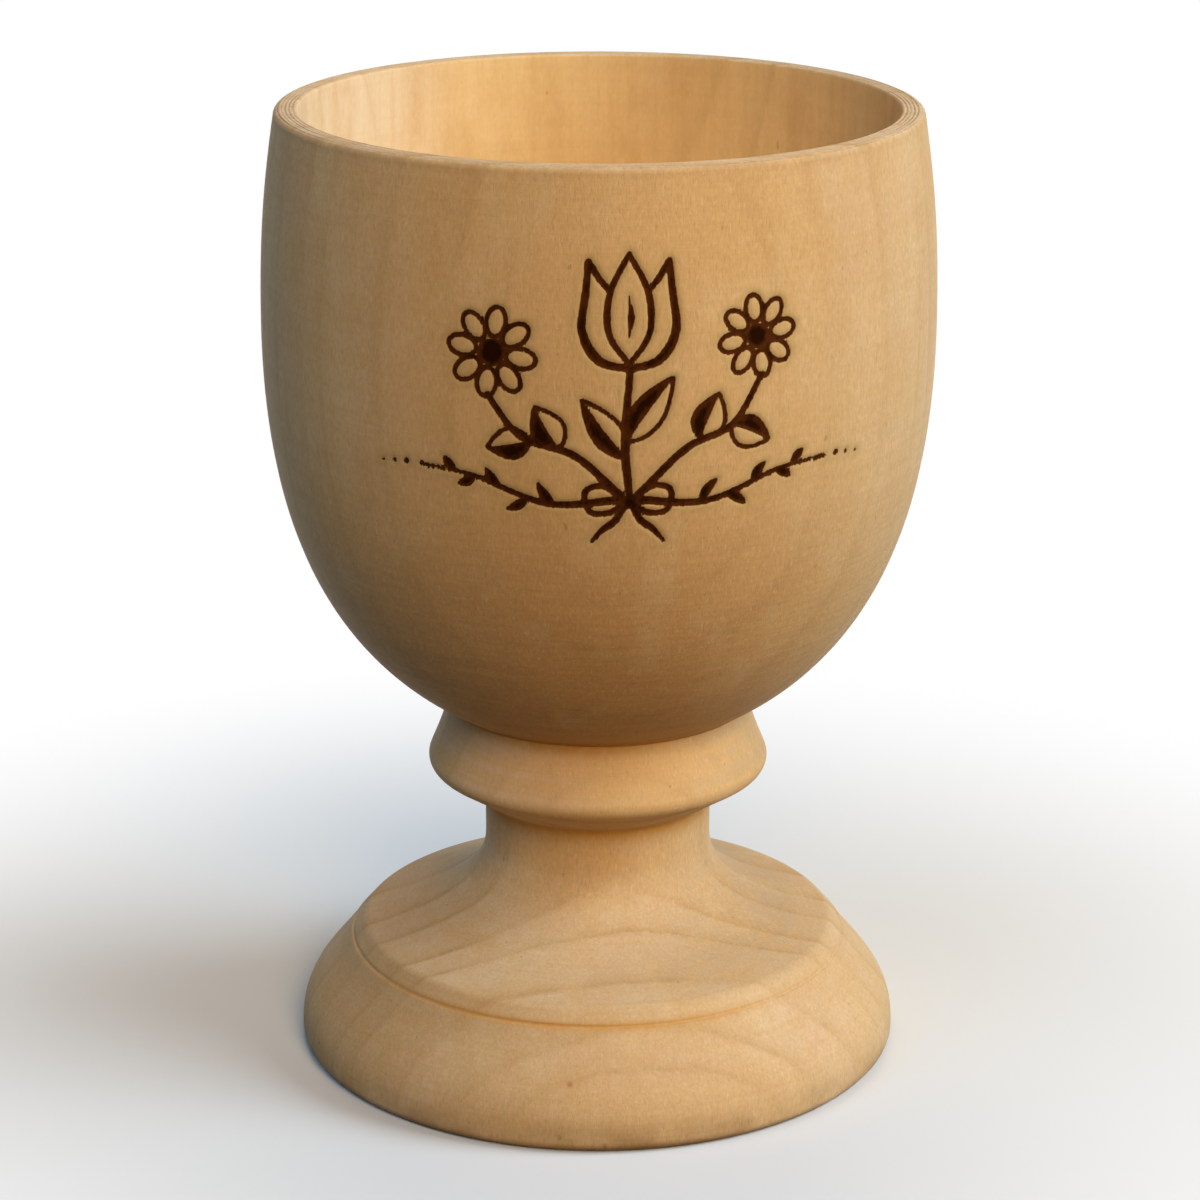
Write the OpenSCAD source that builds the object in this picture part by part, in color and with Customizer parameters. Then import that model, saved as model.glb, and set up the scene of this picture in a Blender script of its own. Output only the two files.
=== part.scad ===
// Turned wooden egg cup: a bowl seated by a glued spigot in a pedestal of collar, neck, flange and foot.
// Millimetres, +Z up along the turning axis. The origin is the centre of the underside,
// and the decorated side of the bowl faces -Y.

/* [Bowl] */
// Largest outside diameter of the bowl
bowl_d = 48.4; // [44:0.2:56]
// Inset of the rim's outer edge from the largest diameter, on each side
rim_inset = 1.2; // [0.4:0.1:2]
// Thickness of the wall at the rim, which leaves a mouth of 42.6 for a hen's egg
rim_wall = 1.7; // [1.1:0.1:3]
// Height of the bowl from its seat on the collar to the rim
bowl_h = 44.2; // [42:0.2:52]
// Height of the widest ring of the bowl above its seat
bowl_wide_h = 28.7; // [26:0.1:32]
// Depth of the straight part of the mouth, above its round end
mouth_straight_h = 12; // [8:0.5:14]
// Rounding of the outer edge of the rim
rim_round = 0.5; // [0.2:0.1:0.6]
// Bevel of the inner edge of the rim
rim_bevel = 0.2; // [0.1:0.05:0.3]
// Slope of the bowl where it meets its seat, above the horizontal
seat_slope = 29; // [24:1:40]

/* [Spigot joint] */
// Diameter of the spigot under the bowl
spigot_d = 11; // [8:0.5:13]
// Length of the spigot
spigot_l = 8; // [5:0.5:10]
// Bevel round the end of the spigot
spigot_bevel = 0.8; // [0.4:0.1:1.2]
// Thickness of the glue round the spigot
glue_gap = 0.15; // [0.1:0.05:0.3]
// Depth of the glue under the spigot
glue_pool = 0.5; // [0.3:0.1:1]

/* [Collar and neck] */
// Diameter of the seat, where the bowl and the collar meet
seat_d = 22.5; // [20:0.5:23.5]
// Diameter of the collar over its edge
collar_d = 25.2; // [24:0.2:28]
// Height of the collar from the neck to the seat
collar_h = 7.6; // [7:0.2:10]
// Height of the collar's widest ring above the neck
collar_wide_h = 3.2; // [2.6:0.1:4]
// Rounding of the collar's edge
collar_round = 1; // [0.6:0.1:1.6]
// Lean of the collar's side just under the seat, from the vertical
collar_lean = 6; // [0:1:12]
// Diameter of the neck
neck_d = 16.8; // [15:0.2:19]
// Height of the straight part of the neck
neck_h = 3; // [1.5:0.1:5]

/* [Flange and foot] */
// Height of the top of the flange, where the neck starts, above the underside
flange_h = 16; // [14:0.5:22]
// Diameter over the groove, where the flange's lip stands on the foot
lip_d = 37; // [34:0.5:38]
// Length of the lip's side, from the middle of the groove to the rounding
lip_side = 1.1; // [0.8:0.1:1.6]
// Lean of the lip's side, from the vertical
lip_lean = 41; // [30:1:50]
// Rounding between the lip's side and the flange
lip_round = 1; // [0.6:0.1:1.4]
// Slope of the flange at its lip, below the horizontal
lip_slope = 15; // [8:1:24]
// Height of the groove under the lip, above the underside
groove_h = 8.1; // [7:0.1:10]
// Width of the groove
groove_w = 0.45; // [0.3:0.05:0.8]
// Depth of the groove
groove_cut = 0.1; // [0.05:0.05:0.6]
// Largest diameter of the foot
foot_d = 44.8; // [43:0.2:52]
// Height of the foot's widest ring above the underside
foot_wide_h = 1.2; // [1:0.1:2]
// Rounding of the foot's bottom edge
foot_round = 0.9; // [0.4:0.1:1]
// Slope of the foot where it leaves the groove, below the horizontal
foot_slope = 58; // [45:1:65]

/* [Hidden] */
// Facets of round surfaces
$fn = 160;
// Steps along a curve and round an arc
curve_steps = 24;
arc_steps = 8;
// Overrun of cuts past the faces that they open
overrun = 1;

// How far each end of a curve holds its direction, as a share of the size beside it
bowl_top_hold_share = 0.41;
rim_hold_share = 0.34;
bowl_side_hold_share = 0.445;
seat_hold_share = 0.86;
collar_hold_share = 0.35;
neck_hold_share = 0.58;
lip_hold_share = 0.51;
groove_hold_share = 0.4;
foot_hold_share = 0.455;
// Inward lean of the bowl's side at the rim, as a share of its mean lean above the widest ring
rim_lean_share = 2;
// Angle of the collar's edge, above the horizontal, where its rounding ends at the top
collar_round_top = 22;

// Radii
bowl_r = bowl_d / 2;
rim_r = bowl_r - rim_inset;
mouth_r = rim_r - rim_wall;
seat_r = seat_d / 2;
spigot_r = spigot_d / 2;
socket_r = spigot_r + glue_gap;
collar_r = collar_d / 2;
neck_r = neck_d / 2;
lip_r = lip_d / 2;
foot_r = foot_d / 2;

// Heights above the underside
collar_z = flange_h + neck_h;
seat_z = collar_z + collar_h;
bowl_wide_z = seat_z + bowl_wide_h;
rim_z = seat_z + bowl_h;
mouth_round_z = rim_z - mouth_straight_h;
spigot_z = seat_z - spigot_l;
socket_z = spigot_z - glue_pool;

// Direction at an angle above the horizontal, as a radius and a height
function heading(angle) = [cos(angle), sin(angle)];

// Groove: its middle and its edges, on the line of the lip's side
lip_rise = heading(90 + lip_lean);
groove_mid = [lip_r, groove_h];
groove_low = groove_mid - groove_w / 2 * lip_rise;
groove_top = groove_mid + groove_w / 2 * lip_rise;

// Points of a circular arc
function arc(centre, radius, from, to) =
    [for (i = [0 : arc_steps]) centre + radius * heading(from + (to - from) * i / arc_steps)];

// Points of a cubic curve from a to d, without its first and last ones
function curve(a, b, c, d) =
    [for (i = [1 : curve_steps - 1])
        let (t = i / curve_steps, s = 1 - t)
        s * s * s * a + 3 * s * s * t * b + 3 * s * t * t * c + t * t * t * d];

// Angle on a circle where the lower tangent from a point below and inside it touches
function tangent_angle(point, centre, radius) =
    let (d = centre - point)
    atan2(d.y, d.x) - asin(radius / norm(d)) - 90;

// Outside of the bowl, from its seat to its rim, as radius and height
function bowl_outline() =
    let (
        seat = [seat_r, seat_z],
        wide = [bowl_r, bowl_wide_z],
        rim = [rim_r, rim_z - rim_round],
        side_h = rim.y - wide.y,
        rim_hold = rim_hold_share * side_h,
        rim_lean = rim_lean_share * rim_inset / side_h
    )
    concat(
        [seat],
        curve(
            seat,
            seat + seat_hold_share * (bowl_r - seat_r) * heading(seat_slope),
            wide - [0, bowl_side_hold_share * bowl_wide_h],
            wide
        ),
        [wide],
        curve(
            wide,
            wide + [0, bowl_top_hold_share * side_h],
            rim + rim_hold * [rim_lean, -1],
            rim
        ),
        arc(rim - [rim_round, 0], rim_round, 0, 90)
    );

// Outside of the foot, from the underside to the groove
function foot_outline() =
    let (
        wide = [foot_r, foot_wide_h],
        rise = groove_low.y - wide.y
    )
    concat(
        arc([foot_r - foot_round, foot_round], foot_round, -90, 0),
        curve(
            wide,
            wide + [0, foot_hold_share * rise],
            groove_low + groove_hold_share * rise * heading(-foot_slope),
            groove_low
        ),
        [groove_low]
    );

// Outside of the groove, the leaning lip, the hollow sweep of the flange and the neck
function flange_outline() =
    let (
        lip_centre = groove_mid + lip_side * lip_rise - lip_round * heading(lip_lean),
        lip_angle = 90 - lip_slope,
        lip = lip_centre + lip_round * heading(lip_angle),
        top = [neck_r, flange_h]
    )
    concat(
        [groove_mid - groove_cut * heading(lip_lean), groove_top],
        arc(lip_centre, lip_round, lip_lean, lip_angle),
        curve(
            lip,
            lip + lip_hold_share * (lip.x - neck_r) * heading(180 - lip_slope),
            top - [0, neck_hold_share * (flange_h - lip.y)],
            top
        ),
        [top, [neck_r, collar_z]]
    );

// Outside of the collar, from its underside to the seat
function collar_outline() =
    let (
        centre = [collar_r - collar_round, collar_z + collar_wide_h],
        underside = tangent_angle([neck_r, collar_z], centre, collar_round),
        edge = centre + collar_round * heading(collar_round_top),
        seat = [seat_r, seat_z],
        hold = collar_hold_share * (seat.y - edge.y)
    )
    concat(
        arc(centre, collar_round, underside, collar_round_top),
        curve(
            edge,
            edge + hold * heading(90 + collar_round_top),
            seat - hold * heading(90 + collar_lean),
            seat
        ),
        [seat]
    );

// Spigot that stands down from the seat, with a bevelled end
module spigot() {
    translate([0, 0, spigot_z + spigot_bevel])
        cylinder(r = spigot_r, h = spigot_l - spigot_bevel);
    translate([0, 0, spigot_z])
        cylinder(r1 = spigot_r - spigot_bevel, r2 = spigot_r, h = spigot_bevel);
}

// Space for the egg: a straight mouth with a round end
module egg_space() {
    translate([0, 0, mouth_round_z]) {
        sphere(r = mouth_r);
        cylinder(r = mouth_r, h = mouth_straight_h + overrun);
    }
    translate([0, 0, rim_z - rim_bevel])
        cylinder(r1 = mouth_r, r2 = mouth_r + rim_bevel + overrun, h = rim_bevel + overrun);
}

module bowl() {
    color("burlywood") {
        difference() {
            rotate_extrude()
                polygon(concat([[0, seat_z]], bowl_outline(), [[0, rim_z]]));
            egg_space();
        }
        spigot();
    }
}

module pedestal() {
    color("tan")
        difference() {
            rotate_extrude()
                polygon(concat([[0, 0]], foot_outline(), flange_outline(), collar_outline(), [[0, seat_z]]));
            translate([0, 0, socket_z])
                cylinder(r = socket_r, h = seat_z - socket_z + overrun);
        }
}

module glue_film() {
    color("ivory")
        difference() {
            translate([0, 0, socket_z])
                cylinder(r = socket_r, h = seat_z - socket_z);
            spigot();
        }
}

bowl();
pedestal();
glue_film();
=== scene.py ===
"""Turned wooden egg cup with a burned line design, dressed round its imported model.

Sizes in the classes are millimetres, angles are degrees, and every mesh is written in metres.
Heights are above the underside of the foot, and the decorated side of the bowl faces -Y.
"""

import functools
import logging
import math
from dataclasses import dataclass, field
from enum import Enum

import bpy
import numpy as np
from mathutils import Matrix, Vector
from numpy.typing import NDArray


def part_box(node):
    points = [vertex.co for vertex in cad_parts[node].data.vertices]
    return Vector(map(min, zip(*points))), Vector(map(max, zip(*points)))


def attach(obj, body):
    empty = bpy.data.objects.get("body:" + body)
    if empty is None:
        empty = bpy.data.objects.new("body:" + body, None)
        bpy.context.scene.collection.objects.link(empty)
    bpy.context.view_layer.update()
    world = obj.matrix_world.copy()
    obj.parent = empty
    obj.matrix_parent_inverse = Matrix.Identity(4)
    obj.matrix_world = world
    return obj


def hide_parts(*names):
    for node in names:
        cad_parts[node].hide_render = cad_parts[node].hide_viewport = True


Array = NDArray[np.float64]
Stops = tuple[tuple[float, float], ...]
Colour = tuple[float, float, float]
Place = tuple[float, float]
Socket = bpy.types.NodeSocket

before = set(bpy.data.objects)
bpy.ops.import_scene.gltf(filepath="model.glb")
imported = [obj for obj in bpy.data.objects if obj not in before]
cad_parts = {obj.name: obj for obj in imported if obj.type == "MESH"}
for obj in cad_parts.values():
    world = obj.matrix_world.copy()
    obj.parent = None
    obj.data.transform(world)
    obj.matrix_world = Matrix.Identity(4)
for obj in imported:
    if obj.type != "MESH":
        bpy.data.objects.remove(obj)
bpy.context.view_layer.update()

MM = 0.001
# Way along an outline, in millimetres, that one unit of V stands for
MM_PER_V = 100.0
log = logging.getLogger("egg_cup")


def heading(angle: float) -> Array:
    """Unit direction, as radius and height, at an angle above the horizontal in degrees."""
    return np.array([math.cos(math.radians(angle)), math.sin(math.radians(angle))])


def line(start: Array, end: Array, count: int = 2) -> Array:
    """Straight run of points: start plus equal shares of the way to end."""
    share = np.linspace(0.0, 1.0, count)[:, None]
    return np.asarray(start) + share * (np.asarray(end) - np.asarray(start))


def arc(centre: Array, radius: float, start: float, end: float, count: int = 24) -> Array:
    """Points on a circle: centre plus radius times the direction of each angle between start and end."""
    angle = np.radians(np.linspace(start, end, count))
    return np.asarray(centre) + radius * np.stack([np.cos(angle), np.sin(angle)], axis=1)


def curve(start: Array, leave: Array, arrive: Array, end: Array, count: int = 160) -> Array:
    """Cubic curve: the four points weighted by the cubic Bernstein shares of the way along."""
    t = np.linspace(0.0, 1.0, count)[:, None]
    s = 1.0 - t
    return s**3 * start + 3 * s * s * t * leave + 3 * s * t * t * arrive + t**3 * end


def walk(points: Array, spacing: float | Array) -> Array:
    """Spreads points along a polyline, with its ends kept.

    The way is measured in steps, each length over the spacing there, and cut into equal numbers of steps.

    Args:
        points: The polyline, one point per row.
        spacing: Wanted distance between points, one value or one for each point.

    Returns:
        The points at about that spacing.
    """
    lengths = np.linalg.norm(np.diff(points, axis=0), axis=1)
    local = np.broadcast_to(np.asarray(spacing, dtype=float), (len(points),))
    steps = np.concatenate([[0.0], np.cumsum(2 * lengths / (local[1:] + local[:-1]))])
    even = np.linspace(0.0, steps[-1], max(2, round(steps[-1]) + 1))
    return np.stack([np.interp(even, steps, column) for column in points.T], axis=1)


def joined(*stretches: Array) -> Array:
    """One outline out of stretches that meet end to end, with each shared point kept once."""
    return np.concatenate([stretches[0], *(stretch[1:] for stretch in stretches[1:])])


def smooth_step(values: Array, low: float, high: float) -> Array:
    """Rises from 0 at low to 1 at high: three times the square of the share less twice its cube."""
    share = np.clip((values - low) / (high - low), 0.0, 1.0)
    return share * share * (3 - 2 * share)


def node_corners(node: str) -> tuple[Array, Array]:
    """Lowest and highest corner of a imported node, in millimetres."""
    low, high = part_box(node)
    return np.array(low) / MM, np.array(high) / MM


@dataclass
class Lathe:
    """A closed surface of revolution on a grid of outline rows and angles.

    Attributes:
        outline: Radius and height of each row, the first and last one on the axis.
        angles: Angle of each column in radians, from -Y towards +X, the full turn not repeated.
    """

    outline: Array
    angles: Array

    def __post_init__(self) -> None:
        """Works out how far along the outline each row lies, and which way it faces."""
        steps = np.linalg.norm(np.diff(self.outline, axis=0), axis=1)
        self.run = np.concatenate([[0.0], np.cumsum(steps)])
        along = np.gradient(self.outline, axis=0)
        along /= np.linalg.norm(along, axis=1)[:, None]
        self.facing = np.stack([along[:, 1], -along[:, 0]], axis=1)
        self.shape = (len(self.outline), len(self.angles))

    def points(self, sink: Array) -> Array:
        """Grid of places: each outline point moved inwards by sink, then turned to its angle.

        Args:
            sink: How far each grid point is let into the surface, in millimetres.

        Returns:
            Places in millimetres, rows by columns by three.
        """
        radius = self.outline[:, :1] - sink * self.facing[:, :1]
        height = self.outline[:, 1:] - sink * self.facing[:, 1:]
        radius[[0, -1]] = 0.0
        return np.stack([radius * np.sin(self.angles), -radius * np.cos(self.angles), height], axis=2)

    def build(self, name: str, sink: Array, **values: Array) -> bpy.types.Object:
        """Makes the mesh: quads between rows and columns, with a fan of triangles at each pole.

        Args:
            name: Name of the piece.
            sink: How far each grid point is let into the surface, in millimetres.
            **values: Point attributes on the grid, by name.

        Returns:
            The piece, linked to the scene, with a UV map whose V is the way along the outline.
        """
        rows, columns = self.shape
        grid = self.points(sink)
        inner = np.arange((rows - 2) * columns).reshape(rows - 2, columns)
        first, last = inner.size, inner.size + 1
        places = np.concatenate([grid[1:-1].reshape(-1, 3), grid[0, :1], grid[-1, :1]])
        beside = np.roll(inner, -1, axis=1)
        quads = np.stack([inner[:-1], beside[:-1], beside[1:], inner[1:]], axis=2).reshape(-1, 4)
        low_fan = np.stack([np.full(columns, first), beside[0], inner[0]], axis=1)
        high_fan = np.stack([inner[-1], beside[-1], np.full(columns, last)], axis=1)
        corners = np.concatenate([quads.ravel(), low_fan.ravel(), high_fan.ravel()])
        sides = np.concatenate([np.full(len(quads), 4), np.full(2 * columns, 3)])

        mesh = bpy.data.meshes.new(name)
        mesh.vertices.add(len(places))
        mesh.vertices.foreach_set("co", (places * MM).ravel())
        mesh.loops.add(len(corners))
        mesh.loops.foreach_set("vertex_index", corners)
        mesh.polygons.add(len(sides))
        mesh.polygons.foreach_set("loop_start", np.concatenate([[0], np.cumsum(sides)[:-1]]))
        mesh.polygons.foreach_set("loop_total", sides)
        mesh.polygons.foreach_set("use_smooth", np.ones(len(sides), dtype=bool))
        mesh.update()

        self._lay_out(mesh, corners)
        for key, value in values.items():
            full = np.broadcast_to(value, self.shape)
            flat = np.concatenate([full[1:-1].ravel(), full[0, :1], full[-1, :1]])
            attribute = mesh.attributes.new(key, "FLOAT", "POINT")
            attribute.data.foreach_set("value", flat.astype(np.float32))
        mesh.validate()

        piece = bpy.data.objects.new(name, mesh)
        bpy.context.scene.collection.objects.link(piece)
        return piece

    def _lay_out(self, mesh: bpy.types.Mesh, corners: Array) -> None:
        """Fills the UV map: U is the share of the turn, V the way along the outline in decimetres."""
        rows, columns = self.shape
        share = np.arange(columns) / columns
        u = np.concatenate([np.tile(share, rows - 2), [0.5, 0.5]])[corners]
        v = np.concatenate([np.repeat(self.run[1:-1], columns), self.run[[0, -1]]])[corners] / MM_PER_V
        layer = mesh.uv_layers.new(name="turning")
        layer.data.foreach_set("uv", np.stack([u, v], axis=1).ravel().astype(np.float32))


class Ink(Enum):
    """What a burned mark is: an open line, a line closed on itself, or a filled shape."""

    OPEN = "open"
    CLOSED = "closed"
    FILLED = "filled"


@dataclass
class Mark:
    """One burned mark on the unrolled side of the bowl.

    Attributes:
        path: Points of the mark, across and up, in millimetres.
        breadth: Width of the line at each point.
        ink: Whether the line is open, closed or fills its inside.
        fade: How far the burn breaks up at each point, from 0 to 1.
    """

    path: Array
    breadth: Array
    ink: Ink = Ink.OPEN
    fade: Array = field(default_factory=lambda: np.zeros(1))

    def measure(self, places: Array) -> tuple[Array, Array]:
        """Distance of places from the edge of the mark, less than 0 inside it, and the fade there.

        Each place is dropped square onto each piece of the path, and the least distance, less half the
        width there, counts. Inside a filled shape, found by counting the sides that a level line crosses,
        the sign turns round.

        Args:
            places: Places across and up, one per row.

        Returns:
            The distance and the fade at each place.
        """
        path = self.path if self.ink is Ink.OPEN else np.concatenate([self.path, self.path[:1]])
        way = np.linspace(0, 1, len(path))
        half = np.interp(way, np.linspace(0, 1, len(self.breadth)), self.breadth) / 2
        fade = np.interp(way, np.linspace(0, 1, len(self.fade)), self.fade)
        start, step = path[:-1], np.diff(path, axis=0)
        offset = places[:, None] - start
        share = np.clip((offset * step).sum(2) / np.maximum((step * step).sum(1), 1e-9), 0, 1)
        away = np.linalg.norm(offset - share[:, :, None] * step, axis=2)
        half_there = half[:-1] + share * np.diff(half)
        nearest = (away - half_there).argmin(1)
        index = np.arange(len(places))
        away, half_there = away[index, nearest], half_there[index, nearest]
        faded = fade[nearest] + share[index, nearest] * (fade[nearest + 1] - fade[nearest])
        if self.ink is Ink.FILLED:
            away = np.where(self._inside(places, path), -away, away)
        return away - half_there, faded

    @staticmethod
    def _inside(places: Array, path: Array) -> NDArray[np.bool_]:
        """Whether each place lies inside the closed path: an odd count of sides crossed to its right."""
        x, y = places[:, :1], places[:, 1:]
        (x0, y0), (x1, y1) = path[:-1].T, path[1:].T
        spans = (y0 <= y) != (y1 <= y)
        rise = np.where(np.abs(y1 - y0) < 1e-9, 1e-9, y1 - y0)
        return (spans & (x < x0 + (y - y0) / rise * (x1 - x0))).sum(1) % 2 == 1


def flowing(*points: Place, count: int = 14) -> Array:
    """Smooth line through points: cubic runs whose ends lean along the chord between their neighbours."""
    knots = np.array(points, dtype=float)
    lean = np.gradient(knots, axis=0)
    runs = [
        curve(knots[i], knots[i] + lean[i] / 3, knots[i + 1] - lean[i + 1] / 3, knots[i + 1], count)
        for i in range(len(knots) - 1)
    ]
    return joined(*runs)


def turned(shape: Array, angle: float, place: Place, scale: float = 1.0) -> Array:
    """Shape scaled, turned by an angle in degrees and moved to a place."""
    c, s = heading(angle)
    return scale * shape @ np.array([[c, s], [-s, c]]) + np.asarray(place)


def mirrored(mark: Mark) -> Mark:
    """The same mark on the other side of the upright through the middle of the design."""
    return Mark(mark.path * np.array([-1.0, 1.0]), mark.breadth, mark.ink, mark.fade)


@dataclass
class BurnedPosy:
    """Burned line design on the front of the bowl: a tulip and two daisies on leafy stems.

    Attributes:
        middle: Place of the design's middle on the unrolled bowl, across and up.
        broad: Width of the main lines.
        fine: Width of the fine lines.
        depth: How deep the burn is.
        bank: Distances from a mark's edge, less than 0 inside it, at which its side starts and ends.
        fade_share: How much shallower the burn is where it breaks up, as a share.
        reach: Distance past which a place counts as unburned.
    """

    middle: Place = (2.0, 55.6)
    broad: float = 0.62
    fine: float = 0.34
    depth: float = 0.13
    bank: Place = (-0.12, 0.06)
    fade_share: float = 0.6
    reach: float = 1.5

    def marks(self) -> list[Mark]:
        """Every mark of the design, about its own middle."""
        return [*self._tulip(), *self._daisies(), *self._stems(), *self._sprigs(), *self._bow()]

    def _line(self, path: Array, *breadth: float, ink: Ink = Ink.OPEN,
              fade: tuple[float, ...] = (0.0,)) -> Mark:
        """A mark along a path, with the main width where none is given."""
        return Mark(path, np.array(breadth or (self.broad,)), ink, np.array(fade))

    def _leaf(self, base: Place, angle: float, length: float, plump: float = 0.34) -> list[Mark]:
        """Pointed leaf, half of it filled: its edges swell with the sine of the way along it.

        Args:
            base: Where the leaf leaves its stem.
            angle: Direction of the leaf in degrees.
            length: Length of the leaf.
            plump: Half its width as a share of its length.

        Returns:
            The outline and the filled half.
        """
        along = np.linspace(0.0, 1.0, 15)
        swell = plump * np.sin(np.pi * along**0.8) ** 0.9
        upper = np.stack([along, swell], axis=1)
        lower = np.stack([along, -swell], axis=1)
        edge = np.concatenate([upper, lower[-2:0:-1]])
        half = np.concatenate([upper, np.stack([along, 0.1 * swell], axis=1)[-2:0:-1]])
        return [
            self._line(turned(edge, angle, base, length), self.fine, ink=Ink.CLOSED),
            self._line(turned(half, angle, base, length), 0.08, ink=Ink.FILLED),
        ]

    def _tulip(self) -> list[Mark]:
        """Tulip head in the middle: a cup with three points, a middle petal and two fine veins."""
        cup = flowing((0, 2.1), (-2.0, 2.7), (-3.1, 4.6), (-2.9, 7.1), (-2.7, 9.2))
        tooth = flowing((-2.7, 9.2), (-1.9, 8.0), (-1.3, 7.3))
        petal = flowing((0, 2.4), (-1.35, 4.5), (-1.25, 7.2), (0, 9.7))
        vein = flowing((0, 4.2), (0.12, 5.6), (0, 7.0))
        half = [
            self._line(cup, 0.5, 0.7, 0.55, 0.5),
            self._line(tooth, 0.5, 0.42),
            self._line(petal, 0.4, 0.5, 0.42),
        ]
        return [*half, *map(mirrored, half), self._line(vein, 0.12, 0.5, 0.1)]

    def _daisies(self) -> list[Mark]:
        """Two daisies, each a ring of eight petals round a filled middle."""
        marks: list[Mark] = []
        around = np.linspace(0, 2 * math.pi, 33)[:-1]
        petal = np.stack([2.1 + 1.02 * np.cos(around), 0.68 * np.sin(around)], axis=1)
        disc = np.stack([np.cos(around), np.sin(around)], axis=1)
        for side, place, scale in ((-1, (-9.2, 3.0), 0.98), (1, (8.9, 3.8), 0.9)):
            for step in range(8):
                path = turned(petal, 45 * step + 9 * side, place, scale)
                marks.append(self._line(path, 0.36, ink=Ink.CLOSED))
            marks.append(self._line(turned(disc, 0, place, 0.8 * scale), 0.3, ink=Ink.FILLED))
        return marks

    def _stems(self) -> list[Mark]:
        """Stems of the three flowers, gathered at the bow, with their leaves."""
        return [
            self._line(flowing((0.1, -6.8), (-0.25, -3.0), (0.05, 2.0)), 0.55, 0.62, 0.5),
            self._line(flowing((-0.5, -6.6), (-3.6, -3.8), (-7.2, -2.6), (-9.5, 0.15)), 0.6, 0.55, 0.45),
            self._line(flowing((0.6, -6.6), (3.9, -3.4), (7.1, -2.0), (9.2, 1.2)), 0.6, 0.55, 0.45),
            *self._leaf((-0.15, -3.9), 127, 4.9, 0.2),
            *self._leaf((-0.05, -2.8), 55, 5.2, 0.2),
            *self._leaf((-4.6, -3.3), 121, 3.2),
            *self._leaf((4.9, -2.9), 68, 3.3),
            *self._leaf((-6.6, -2.8), 193, 3.0),
            *self._leaf((7.0, -2.1), 336, 3.1),
        ]

    def _sprigs(self) -> list[Mark]:
        """Low sprigs that trail off to both sides in small filled leaves and fading dots."""
        marks: list[Mark] = []
        for side in (-1, 1):
            path = flowing((0.8, -6.9), (5.5, -7.2), (10.5, -5.6), (14.6, -5.2), count=20) * (side, 1)
            marks.append(self._line(path, 0.62, 0.5, 0.40, 0.30, fade=(0.0, 0.0, 0.1, 0.5)))
            for share, lean in ((0.3, 44), (0.42, -40), (0.54, 42), (0.66, -38), (0.78, 40)):
                base = path[round(share * (len(path) - 1))]
                angle = lean + 10 if side > 0 else 170 - lean
                marks.append(self._seed(tuple(base), angle, 2.3 - 1.3 * share))
            for dot, size in enumerate((0.5, 0.4, 0.3)):
                spot = arc((side * (15.7 + 1.0 * dot), -5.2 - 0.1 * dot), size / 4, 0, 345, 10)
                marks.append(self._line(spot, size / 2, ink=Ink.FILLED))
        return marks

    def _seed(self, base: Place, angle: float, length: float) -> Mark:
        """Small filled leaf: a short stroke whose width swells with the sine of the way along it."""
        way = np.linspace(0.0, 1.0, 9)
        path = turned(np.stack([way, 0.08 * np.sin(np.pi * way)], axis=1), angle, base, length)
        return Mark(path, 0.14 + 0.62 * np.sin(np.pi * way**0.9))

    def _bow(self) -> list[Mark]:
        """Bow that ties the stems: a loop and a tail on each side of a filled knot."""
        loop = flowing((0.3, -6.9), (1.7, -5.9), (2.9, -6.3), (2.6, -7.7), (1.3, -7.8), (0.3, -7.1))
        tail = flowing((0.25, -7.3), (0.9, -8.4), (1.7, -9.0), (2.5, -9.9))
        half = [self._line(loop, 0.45), self._line(tail, 0.5, 0.56, 0.3)]
        knot = arc((0, -7.05), 0.34, 0, 345, 14)
        return [*half, *map(mirrored, half), self._line(knot, 0.3, ink=Ink.FILLED)]

    def burn(self, across: Array, up: Array) -> tuple[Array, Array]:
        """Distance to the edge of the nearest mark, and the fade there, for a grid of places.

        Args:
            across: Way round the bowl, in millimetres, of each grid point.
            up: Height of each grid point.

        Returns:
            The distance, at most the reach, and the fade, in the shape of the grid.
        """
        places = np.stack([across.ravel() - self.middle[0], up.ravel() - self.middle[1]], axis=1)
        distance = np.full(len(places), self.reach)
        fade = np.zeros(len(places))
        for mark in self.marks():
            room = self.reach + mark.breadth.max()
            near = np.flatnonzero(
                ((places > mark.path.min(0) - room) & (places < mark.path.max(0) + room)).all(1)
            )
            if not near.size:
                continue
            found, faded = mark.measure(places[near])
            closer = found < distance[near]
            distance[near[closer]] = found[closer]
            fade[near[closer]] = faded[closer]
        return distance.reshape(across.shape), fade.reshape(across.shape)

    def sink(self, distance: Array, fade: Array) -> Array:
        """Depth of the burn: full inside a mark, nothing past its bank, and less where it breaks up."""
        return self.depth * (1 - smooth_step(distance, *self.bank)) * (1 - self.fade_share * fade)


@dataclass(frozen=True)
class Pattern:
    """Noise of one kind, and the range of it that counts.

    Attributes:
        stretch: Factors on across, depth and up, which make its marks long or thin.
        scale: Grain of the noise, in turns per millimetre.
        detail: Number of finer layers in it.
        rough: Strength of each finer layer.
        cut: Where the noise is cut, so that no two patterns are alike.
        low: Noise that gives the least value.
        high: Noise that gives the most.
        most: Value at the high end.
        least: Value at the low end.
    """

    stretch: tuple[float, float, float]
    scale: float
    detail: float
    rough: float
    cut: float
    low: float = 0.0
    high: float = 1.0
    most: float = 1.0
    least: float = 0.0


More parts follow.
